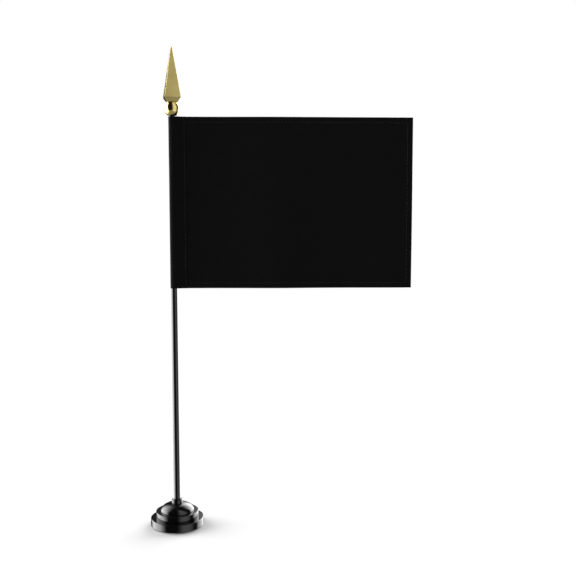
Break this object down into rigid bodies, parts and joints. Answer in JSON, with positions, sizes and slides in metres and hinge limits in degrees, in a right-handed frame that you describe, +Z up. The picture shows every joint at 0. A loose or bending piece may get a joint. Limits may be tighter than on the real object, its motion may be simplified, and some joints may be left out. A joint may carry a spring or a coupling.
{
  "type": "desk flag stand",
  "caption": "Small desk flag on a round pole with a ball and spear finial, standing in a stepped round weighted base.",
  "frame": {"origin": "centre of the underside of the base, on the pole's axis", "axes": "+Z up along the pole, +X from the pole towards the flag's free edge, +Y to the flag's back face"},
  "size_m": [0.1589, 0.0322, 0.288],
  "materials": {
    "black_moulding": "polished gloss black",
    "bush_plastic": "gloss black, moulded",
    "pole_plastic": "gloss black, extruded",
    "plate_plastic": "matt black",
    "foam_pad": "matt black foam rubber",
    "ballast_steel": "as turned",
    "stud_steel": "zinc plated",
    "gold": "polished gold-coloured plate",
    "flag_cloth": "woven polyester, matt black",
    "thread": "black polyester sewing thread"
  },
  "bodies": {
    "base": {"base_shell": "black_moulding", "ballast_disc": "ballast_steel", "bottom_plate": "plate_plastic", "anti_slip_pad": "foam_pad"},
    "socket": {"socket_bush": "bush_plastic"},
    "pole": {"pole": "pole_plastic"},
    "flag": {"flag_panel": "flag_cloth", "pole_sleeve": "flag_cloth", "sleeve_stitching": "thread", "top_hem_stitching": "thread", "bottom_hem_stitching": "thread", "fly_hem_stitching": "thread"},
    "ball": {"finial_ball": "gold"},
    "stud": {"finial_stud": "stud_steel"},
    "spear": {"finial_spear": "gold"}
  },
  "joints": [
    {"name": "pole_turn", "type": "hinge", "parent": "base", "child": "socket", "pos_m": [0, 0, 0.01], "axis": [0, 0, 1], "continuous": true},
    {"name": "pole_lift", "type": "slide", "parent": "socket", "child": "pole", "axis": [0, 0, 1], "range_m": [0, 0.018]},
    {"name": "flag_slide", "type": "slide", "parent": "pole", "child": "flag", "axis": [0, 0, 1], "range_m": [-0.125, 0]},
    {"name": "finial_pull", "type": "slide", "parent": "pole", "child": "ball", "axis": [0, 0, 1], "range_m": [0, 0.008]},
    {"name": "spear_turn", "type": "hinge", "parent": "ball", "child": "stud", "pos_m": [0, 0, 0.256], "axis": [0, 0, 1], "continuous": true},
    {"name": "spear_pull", "type": "slide", "parent": "stud", "child": "spear", "axis": [0, 0, 1], "range_m": [0, 0.0055]}
  ]
}
